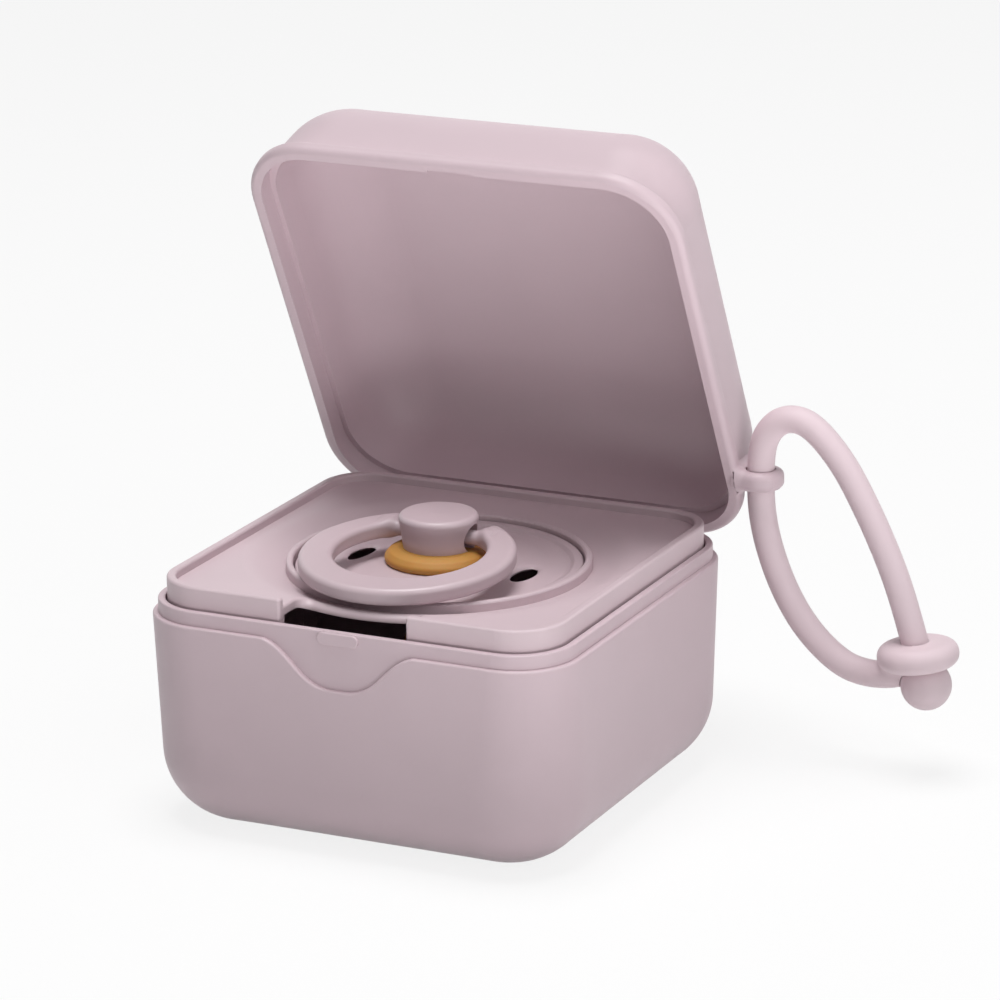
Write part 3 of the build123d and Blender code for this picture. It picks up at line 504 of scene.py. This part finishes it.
def surface_of(field, low, high, cell):
    """Corners and four-sided faces of a field's zero surface, in the field's own units."""
    axes = [np.arange(start, end + cell, cell) for start, end in zip(low, high)]
    values = field(*np.meshgrid(*axes, indexing="ij"))
    inside = values < 0
    shape = [count - 1 for count in values.shape]
    total = np.zeros((*shape, 3))
    crossings = np.zeros(shape)
    steps = list(np.ndindex(2, 2, 2))

    def shifted(grid, step):
        return grid[tuple(slice(s, s + n) for s, n in zip(step, shape))]
    for step in steps:
        for axis in range(3):
            if step[axis]:
                continue
            other = tuple(s + (k == axis) for k, s in enumerate(step))
            near, far = shifted(values, step), shifted(values, other)
            cut = (near < 0) != (far < 0)
            share = np.where(cut, near / np.where(cut, near - far, 1), 0)
            for k in range(3):
                total[..., k] += np.where(cut, step[k] + (share if k == axis else 0), 0)
            crossings += cut
    used = crossings > 0
    number = np.full(shape, -1)
    number[used] = np.arange(used.sum())
    cells = np.argwhere(used)
    points = (cells + total[used] / crossings[used][:, None]) * cell + np.array(low)
    faces = []
    for axis in range(3):
        b, c = [k for k in range(3) if k != axis]
        near = np.moveaxis(inside, (axis, b, c), (0, 1, 2))[:-1, 1:-1, 1:-1]
        far = np.moveaxis(inside, (axis, b, c), (0, 1, 2))[1:, 1:-1, 1:-1]
        places = np.argwhere(near != far)
        turned = near[tuple(places.T)] ^ (axis == 1)
        ring = np.moveaxis(number, (axis, b, c), (0, 1, 2))
        i, j, k = places.T
        loop = np.stack([ring[i, j, k], ring[i, j + 1, k], ring[i, j + 1, k + 1],
                         ring[i, j, k + 1]], 1)
        faces.append(np.where(turned[:, None], loop, loop[:, ::-1]))
    faces = np.concatenate(faces)
    return points, faces[(faces >= 0).all(1)]


def slope_of(field, points, step=0.01):
    """Unit normals of a field at points."""
    slopes = []
    for axis in range(3):
        shift = np.zeros(3)
        shift[axis] = step
        slopes.append(field(*(points + shift).T) - field(*(points - shift).T))
    slopes = np.stack(slopes, 1)
    return slopes / np.maximum(np.linalg.norm(slopes, axis=1, keepdims=True), 1e-9)


def soft_form(context, name, field, low, high, cell):
    """An object whose surface is a field's zero surface; the field is in millimetres."""
    points, faces = surface_of(field, low, high, cell)
    for _ in range(SETTLE_ROUNDS):
        points -= field(*points.T)[:, None] * slope_of(field, points) * SETTLE_SHARE
    mesh = bpy.data.meshes.new(name)
    mesh.from_pydata((points * MM).tolist(), [], faces.tolist())
    mesh.update()
    mesh.shade_smooth()
    mesh.normals_split_custom_set_from_vertices(slope_of(field, points).tolist())
    piece = bpy.data.objects.new(name, mesh)
    context.collection.objects.link(piece)
    return piece


# ------------------------------------------------------------------------------ operators
class CASE_OT_disc(bpy.types.Operator):
    """Form the strap's disc, with the cord's root drawn into it"""

    bl_idname = "case.disc"
    bl_label = "Disc"

    def execute(self, context):
        given = settings_of(context)
        path = [[(1 - t) ** 2 * a + 2 * t * (1 - t) * b + t * t * c for a, b, c in zip(*ROOT)]
                for t in np.linspace(0, 1, ROOT_STEPS + 1)]

        def form(x, y, z):
            across, up = x - DISC[0], z - DISC[2]
            height = up * math.cos(DISC_TURN) - across * math.sin(DISC_TURN)
            along = across * math.cos(DISC_TURN) + up * math.sin(DISC_TURN)
            plate = slab(np.hypot(along, y - DISC[1]) - DISC_RADIUS, height, DISC_HALF,
                         DISC_EDGE)
            root = np.min([bar(x, y, z, start, end) for start, end in zip(path, path[1:])],
                          axis=0) - CORD_RADIUS
            joined = rounded_union(plate, root, ROOT_BLEND)
            stem = across * math.cos(STEM_TURN) + up * math.sin(STEM_TURN)
            rise = up * math.cos(STEM_TURN) - across * math.sin(STEM_TURN)
            off_stem = np.hypot(stem, y - DISC[1])
            sleeve = np.maximum(off_stem - CORD_RADIUS + SLEEVE_UNDER,
                                np.abs(rise - SLEEVE_HALF) - SLEEVE_HALF)
            joined = np.minimum(joined, sleeve)
            hole = np.minimum(STEM_HOLE - off_stem, -rise)
            nest = BALL_RADIUS + BALL_ROOM - np.sqrt(sum(
                (value - middle) ** 2 for value, middle in zip((x, y, z), BALL)))
            return np.maximum(joined, np.maximum(hole, nest))
        piece = soft_form(context, "disc", form, *DISC_BOX, FORM_CELL)
        dress(piece, silicone(given))
        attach(piece, "strap")
        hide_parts("strap_disc")
        return {"FINISHED"}


class CASE_OT_strap(bpy.types.Operator):
    """Lay the strap's cord on its route and dress its ball"""

    bl_idname = "case.strap"
    bl_label = "Strap"

    def execute(self, context):
        given = settings_of(context)
        strap = given.strap
        material = silicone(given)
        line = bpy.data.curves.new("strap", "CURVE")
        line.dimensions = "3D"
        line.bevel_depth = strap.diameter / 2
        line.bevel_resolution = 12
        line.resolution_u = 24
        line.use_fill_caps = True
        spline = line.splines.new("NURBS")
        spline.points.add(len(STRAP_ROUTE) - 1)
        for point, (x, z) in zip(spline.points, STRAP_ROUTE):
            point.co = (x * MM, strap.depth, z * MM, 1)
        spline.order_u = 3
        spline.use_endpoint_u = True
        cord = bpy.data.objects.new("strap", line)
        context.collection.objects.link(cord)
        dress(cord, material)
        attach(cord, "strap")
        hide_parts("strap_cord")
        ends = [bpy.data.objects["disc"], dress(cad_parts["strap_ball"], material)]
        return {"FINISHED"}


class CASE_OT_shells(bpy.types.Operator):
    """Dress the base and the lid"""

    bl_idname = "case.shells"
    bl_label = "Shells"

    def execute(self, context):
        given = settings_of(context)
        material = shell_plastic(given)
        for node in ("base_shell", "lid_shell"):
            dress(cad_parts[node], material)
        return {"FINISHED"}


class CASE_OT_eye(bpy.types.Operator):
    """Blend the strap's eye into the lid's rim bead"""

    bl_idname = "case.eye"
    bl_label = "Eye"

    def execute(self, context):
        given = settings_of(context)
        eye = given.eye
        x0, y0, z0 = (value / MM for value in eye.place)
        hole, wall, reach = eye.hole / MM, eye.wall / MM, eye.reach / MM
        blend = eye.blend / MM
        root = []
        for half in (-EYE_ROOTS[0], EYE_ROOTS[1]):
            from_root = math.atan2(half, -EYE_ROOT)
            opening = math.acos((hole + wall) / math.hypot(half, EYE_ROOT))
            angle = from_root - math.copysign(opening, half)
            touch = ((hole + wall) * math.cos(angle), (hole + wall) * math.sin(angle))
            root += [(-EYE_ROOT, half), touch] if half < 0 else [touch, (-EYE_ROOT, half)]
        turn, pull = math.cos(LID_OPEN), math.sin(LID_OPEN)

        def arm(x, y, z):
            ring = np.hypot(x - x0, y - y0) - hole - wall
            outline = np.minimum(ring, outline_distance(x - x0, y - y0, root))
            return slab(outline, z - z0, eye.height / MM / 2, eye.edge / MM)

        def closed(x, y, z):
            """Distance out from the lid's outline, and height over its rim, as if closed."""
            back = HINGE[0] + turn * (y - HINGE[0]) - pull * (z - HINGE[1])
            up = HINGE[1] + pull * (y - HINGE[0]) + turn * (z - HINGE[1]) - RIM_Z
            straight = LID_HALF - LID_CORNER
            across, along = np.abs(x) - straight, np.abs(back) - straight
            side = (np.hypot(np.maximum(across, 0), np.maximum(along, 0))
                    + np.minimum(np.maximum(across, along), 0) - LID_CORNER)
            return side, up

        def rim(side, up):
            bead = slab(side - BEAD_PROUD, up - BEAD_HEIGHT / 2, BEAD_HEIGHT / 2, BEAD_ROUND)
            wall = np.maximum(side + WALL_SUNK + up * WALL_DRAFT, WALL_START - up)
            return rounded_union(bead, wall, BEAD_ROUND)

        def blended(x, y, z):
            side, up = closed(x, y, z)
            joined = rounded_union(arm(x, y, z) - EYE_SKIN, rim(side, up) + EYE_SKIN, blend)
            hole_side = hole - EYE_SKIN - np.hypot(x - x0, y - y0)
            ball = np.sqrt((x - x0 + reach) ** 2 + (y - y0) ** 2 + (z - z0) ** 2) - EYE_BALL
            inside = -WALL_SKIN - side
            base = np.minimum(EYE_SKIN - up, BASE_REACH - side)
            return np.max([joined, hole_side, ball, inside, base], axis=0)
        margin = EYE_BALL + EYE_ROOM
        piece = soft_form(context, "eye_blend", blended,
                          (x0 - reach - margin, y0 - margin, z0 - margin),
                          (x0 + EYE_TIP, y0 + margin, z0 + margin), EYE_CELL)
        dress(piece, shell_plastic(given))
        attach(piece, "lid")
        return {"FINISHED"}


class CASE_OT_tray(bpy.types.Operator):
    """Dress the tray"""

    bl_idname = "case.tray"
    bl_label = "Tray"

    def execute(self, context):
        given = settings_of(context)
        material = moulded("Tray plastic", given.colours.tray, given.skin, roughness=0.46)
        dress(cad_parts["dispenser_tray"], material)
        return {"FINISHED"}


class CASE_OT_pin(bpy.types.Operator):
    """Dress the hinge pin"""

    bl_idname = "case.pin"
    bl_label = "Hinge pin"

    def execute(self, context):
        given = settings_of(context)
        material = moulded("Pin steel", given.colours.steel, given.skin, roughness=0.3,
                           Metallic=1.0)
        dress(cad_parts["hinge_pin"], material)
        return {"FINISHED"}


class CASE_OT_pacifier(bpy.types.Operator):
    """Dress the knob and form the shield with its two vents"""

    bl_idname = "case.pacifier"
    bl_label = "Pacifier"

    def execute(self, context):
        given = settings_of(context)
        material = pacifier_plastic(given)
        dress(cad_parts["pacifier_knob"], material)

        def form(x, y, z):
            plate = outline_distance(np.hypot(x, y), z, SHIELD_OUTLINE) - SHIELD_ROUND
            vent = np.hypot((np.abs(x) - VENT[0]) / VENT_HALF[0], (y - VENT[1]) / VENT_HALF[1])
            return -rounded_union(-plate, (vent - 1) * VENT_HALF[0], VENT_LIP)
        reach = max(radius for radius, _ in SHIELD_OUTLINE) + FORM_ROOM
        low, high = SHIELD_HEIGHTS
        piece = soft_form(context, "shield", form, (-reach, -reach, low),
                          (reach, reach, high), FORM_CELL)
        dress(piece, material)
        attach(piece, "pacifier")
        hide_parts("pacifier_shield")
        return {"FINISHED"}


class CASE_OT_ring(bpy.types.Operator):
    """Form the finger ring, with its ends drawn in to the two pins"""

    bl_idname = "case.ring"
    bl_label = "Ring"

    def execute(self, context):
        given = settings_of(context)
        ring = given.ring
        outer, inner, wider = ring.outer / MM, ring.inner / MM, ring.wider / MM
        half = ring.thickness / MM / 2
        turn, pull = math.cos(ring.tilt), math.sin(ring.tilt)

        def form(x, y, z):
            level_y = y * turn + (z - PIVOT_Z) * pull
            height = (z - PIVOT_Z) * turn - y * pull
            side = np.abs(x)
            band = np.maximum(np.hypot(x, level_y + RING_OFFSET) - outer,
                              inner - np.hypot(x, level_y + RING_OFFSET - wider))
            kept = np.minimum(RING_GAP_HALF - side, level_y + RING_OFFSET)
            outline = -rounded_union(-band, -kept, RING_END)
            plate = slab(outline, height, half, RING_EDGE)
            pin = np.maximum(np.hypot(level_y, height) - PIN_RADIUS,
                             np.abs(side - (PIN_START + PIN_STOP) / 2)
                             - (PIN_STOP - PIN_START) / 2)
            return rounded_union(plate, pin, PIN_BLEND)
        piece = soft_form(
            context, "finger_ring", form,
            (-outer - FORM_ROOM, -outer - RING_OFFSET - FORM_ROOM, PIVOT_Z - RING_BELOW),
            (outer + FORM_ROOM, RING_BEHIND, PIVOT_Z + RING_ABOVE), FORM_CELL)
        dress(piece, pacifier_plastic(given))
        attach(piece, "ring")
        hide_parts("pacifier_ring")
        return {"FINISHED"}


class CASE_OT_teat(bpy.types.Operator):
    """Dress the latex teat and form its skirt under the knob"""

    bl_idname = "case.teat"
    bl_label = "Teat"

    def execute(self, context):
        given = settings_of(context)
        material = moulded("Latex", given.colours.latex, given.skin, roughness=0.6,
                           bump=2.0, Subsurface_Weight=0.35, Subsurface_Scale=1.5 * MM)
        dress(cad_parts["pacifier_teat"], material)

        def form(x, y, z):
            return outline_distance(np.hypot(x, y), z, SKIRT_OUTLINE) - SKIRT_ROUND
        reach = max(radius for radius, _ in SKIRT_OUTLINE) + FORM_ROOM
        low, high = SKIRT_HEIGHTS
        piece = soft_form(context, "skirt", form, (-reach, -reach, low),
                          (reach, reach, high), FORM_CELL)
        dress(piece, material)
        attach(piece, "pacifier")
        return {"FINISHED"}


def soft_lamp(context, name, place, size, power):
    """A large square lamp at a place, turned to the middle of the case."""
    light = bpy.data.lights.new(name, "AREA")
    light.shape = "SQUARE"
    light.size = size
    light.energy = power
    lamp = bpy.data.objects.new(name, light)
    lamp.location = place
    lamp.visible_camera = False
    middle = (CAD_BOX[0] + CAD_BOX[1]) / 2
    lamp.rotation_euler = (middle - Vector(place)).to_track_quat("-Z", "Y").to_euler()
    context.collection.objects.link(lamp)
    return lamp


def white_to_the_camera(tree, shader, output, amount):
    """Mixes plain white over a shader for the camera, glossy and transmission rays."""
    path = tree.nodes.new("ShaderNodeLightPath")
    seen = add_node(tree, "ShaderNodeMath", operation="MAXIMUM")
    also = add_node(tree, "ShaderNodeMath", operation="MAXIMUM")
    share = add_node(tree, "ShaderNodeMath", operation="MULTIPLY")
    share.inputs[1].default_value = amount
    white = add_node(tree, "ShaderNodeEmission", Color=(1, 1, 1, 1), Strength=1.0)
    mix = tree.nodes.new("ShaderNodeMixShader")
    join = tree.links.new
    join(path.outputs["Is Camera Ray"], seen.inputs[0])
    join(path.outputs["Is Glossy Ray"], seen.inputs[1])
    join(seen.outputs[0], also.inputs[0])
    join(path.outputs["Is Transmission Ray"], also.inputs[1])
    join(also.outputs[0], share.inputs[0])
    join(share.outputs[0], mix.inputs["Fac"])
    join(shader, mix.inputs[1])
    join(white.outputs[0], mix.inputs[2])
    join(mix.outputs[0], output)


class CASE_OT_stage(bpy.types.Operator):
    """Set up the floor, the light and the camera"""

    bl_idname = "case.stage"
    bl_label = "Stage"

    def execute(self, context):
        stage = settings_of(context).stage
        context.scene.view_settings.view_transform = "Standard"
        self.camera(context, stage)
        self.floor(context, stage)
        self.light(context, stage)
        return {"FINISHED"}

    def camera(self, context, stage):
        """The camera stands at its place and looks along its azimuth and elevation."""
        lens = bpy.data.cameras.new("camera")
        lens.sensor_width = 36
        lens.lens = stage.lens
        lens.clip_start = 0.01
        camera = bpy.data.objects.new("camera", lens)
        turn = (Matrix.Rotation(stage.azimuth, 4, "Z")
                @ Matrix.Rotation(math.pi / 2 - stage.elevation, 4, "X")
                @ Matrix.Rotation(stage.roll, 4, "Z"))
        camera.matrix_world = Matrix.Translation(stage.camera_place) @ turn
        context.collection.objects.link(camera)
        context.scene.camera = camera

    def floor(self, context, stage):
        """A pale floor that looks white and keeps a faint shadow."""
        half = FLOOR_HALF
        mesh = bpy.data.meshes.new("floor")
        corners = [(-half, -half, 0), (half, -half, 0), (half, half, 0), (-half, half, 0)]
        mesh.from_pydata(corners, [], [(0, 1, 2, 3)])
        floor = bpy.data.objects.new("floor", mesh)
        context.collection.objects.link(floor)
        material = bpy.data.materials.new("Pale floor")
        material.use_nodes = True
        tree = material.node_tree
        shader = tree.nodes["Principled BSDF"]
        shader.inputs["Base Color"].default_value = (FLOOR_GREY, FLOOR_GREY, FLOOR_GREY, 1)
        shader.inputs["Roughness"].default_value = 0.9
        white_to_the_camera(tree, shader.outputs[0],
                            tree.nodes["Material Output"].inputs["Surface"], 1 - stage.shadow)
        floor.data.materials.append(material)

    def light(self, context, stage):
        """An even sky that looks white, three large soft lamps and two low ones that face up."""
        world = bpy.data.worlds.new("sky")
        context.scene.world = world
        world.use_nodes = True
        tree = world.node_tree
        sky = tree.nodes["Background"]
        sky.inputs["Color"].default_value = (1, 1, 1, 1)
        sky.inputs["Strength"].default_value = stage.sky
        white_to_the_camera(tree, sky.outputs[0],
                            tree.nodes["World Output"].inputs["Surface"], 1.0)
        for name, place, size, setting in LAMPS:
            lamp = soft_lamp(context, name, place, size, getattr(stage, setting))
            if setting == "low":
                lamp.rotation_euler = (math.pi, 0, 0)


# ---------------------------------------------------------------------------------- panel
class CASE_PT_builder(bpy.types.Panel):
    """Lists the operators in the order in which they are used"""

    bl_idname = "CASE_PT_builder"
    bl_label = "Pacifier case"
    bl_space_type = "VIEW_3D"
    bl_region_type = "UI"
    bl_category = "Case"

    def draw(self, context):
        given = settings_of(context)
        for step in STEPS:
            self.layout.operator(step.bl_idname)
        for group in (given.colours, given.skin, given.strap, given.eye, given.ring,
                      given.stage):
            box = self.layout.box()
            for name in group.__annotations__:
                box.prop(group, name)


STEPS = (
    CASE_OT_stage,
    CASE_OT_disc,
    CASE_OT_strap,
    CASE_OT_shells,
    CASE_OT_eye,
    CASE_OT_tray,
    CASE_OT_pin,
    CASE_OT_pacifier,
    CASE_OT_ring,
    CASE_OT_teat,
)
CLASSES = (CaseColours, SkinSettings, StrapSettings, EyeSettings, RingSettings,
           StageSettings, CaseSettings, *STEPS, CASE_PT_builder)


def register():
    for kind in CLASSES:
        bpy.utils.register_class(kind)
    bpy.types.Scene.pacifier_case = PointerProperty(type=CaseSettings)


def unregister():
    del bpy.types.Scene.pacifier_case
    for kind in reversed(CLASSES):
        bpy.utils.unregister_class(kind)


def main():
    register()
    bpy.ops.case.stage()
    bpy.ops.case.disc()
    bpy.ops.case.strap()
    bpy.ops.case.shells()
    bpy.ops.case.eye()
    bpy.ops.case.tray()
    bpy.ops.case.pin()
    bpy.ops.case.pacifier()
    bpy.ops.case.ring()
    bpy.ops.case.teat()


if __name__ == "__main__":
    main()
